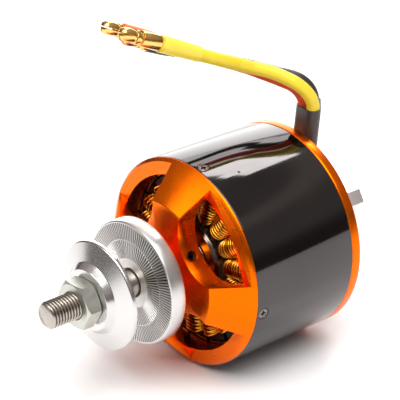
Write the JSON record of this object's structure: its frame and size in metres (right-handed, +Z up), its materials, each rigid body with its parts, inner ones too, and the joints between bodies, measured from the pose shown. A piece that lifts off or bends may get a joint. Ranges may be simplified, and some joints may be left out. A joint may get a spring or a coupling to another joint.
{
  "type": "brushless outrunner motor",
  "caption": "Outrunner motor: spinning can and windowed front bell around a wound stator, threaded shaft with collar, cone washer and nut, rear cross mount, bullet leads.",
  "frame": {"origin": "on the ground under the middle of the motor without its free leads, which lies on its can", "axes": "+Z up; the shaft axis is horizontal along Y, with the propeller end towards -Y and the cross mount towards +Y"},
  "size_m": [0.063, 0.1026, 0.1021],
  "materials": {
    "orange_anodised": "orange anodised, satin turned",
    "black_nickel": "glossy black nickel plated steel",
    "nickel_magnet": "nickel plated magnet",
    "lamination_steel": "coated lamination stack",
    "stator_alloy": "plain turned",
    "enamelled_copper": "enamelled copper winding",
    "shaft_steel": "ground steel",
    "dark_screw": "black oxide",
    "bearing_steel": "polished bearing steel",
    "turned_aluminium": "bright turned",
    "zinc_nut": "zinc plated",
    "gold_plate": "gold plated",
    "black_insulation": "heat-shrink sleeve and silicone lead",
    "yellow_insulation": "silicone lead",
    "red_insulation": "silicone lead"
  },
  "bodies": {
    "stator": {"bullet_black": "gold_plate", "bullet_red": "gold_plate", "bullet_yellow": "gold_plate", "coil_01": "enamelled_copper", "coil_02": "enamelled_copper", "coil_03": "enamelled_copper", "coil_04": "enamelled_copper", "coil_05": "enamelled_copper", "coil_06": "enamelled_copper", "coil_07": "enamelled_copper", "coil_08": "enamelled_copper", "coil_09": "enamelled_copper", "coil_10": "enamelled_copper", "coil_11": "enamelled_copper", "coil_12": "enamelled_copper", "coil_13": "enamelled_copper", "coil_14": "enamelled_copper", "coil_15": "enamelled_copper", "coil_16": "enamelled_copper", "coil_17": "enamelled_copper", "coil_18": "enamelled_copper", "cross_mount": "turned_aluminium", "front_bearing_outer": "bearing_steel", "lead_black": "black_insulation", "lead_red": "red_insulation", "lead_sleeve": "black_insulation", "lead_yellow": "yellow_insulation", "mount_screw_1": "dark_screw", "mount_screw_2": "dark_screw", "mount_screw_3": "dark_screw", "mount_screw_4": "dark_screw", "rear_bearing_outer": "bearing_steel", "stator_base": "stator_alloy", "stator_core": "lamination_steel"},
    "rotor": {"bell_screw_1": "dark_screw", "bell_screw_2": "dark_screw", "bell_screw_3": "dark_screw", "bell_screw_4": "dark_screw", "circlip": "dark_screw", "flux_ring": "black_nickel", "front_bearing_inner": "bearing_steel", "front_bell": "orange_anodised", "magnet_ring": "nickel_magnet", "prop_collar": "turned_aluminium", "rear_bearing_inner": "bearing_steel", "rear_ring": "orange_anodised", "set_screw_1": "dark_screw", "set_screw_2": "dark_screw", "shaft": "shaft_steel"},
    "clamp_washer": {"cone_washer": "turned_aluminium"},
    "prop_nut": {"prop_nut": "zinc_nut"}
  },
  "joints": [
    {"name": "rotor_spin", "type": "hinge", "parent": "stator", "child": "rotor", "pos_m": [0, 0.00125, 0.0315], "axis": [0, 1, 0], "continuous": true},
    {"name": "washer_slide", "type": "slide", "parent": "rotor", "child": "clamp_washer", "axis": [0, 1, 0], "range_m": [-0.009, 0.01]},
    {"name": "nut_spin", "type": "hinge", "parent": "clamp_washer", "child": "prop_nut", "pos_m": [0, -0.03675, 0.0315], "axis": [0, 1, 0], "range_deg": [-3241, 3601]}
  ],
  "couplings": [
    {"joint": "nut_spin", "follows": "washer_slide", "rad_per_m": 6283.2}
  ]
}
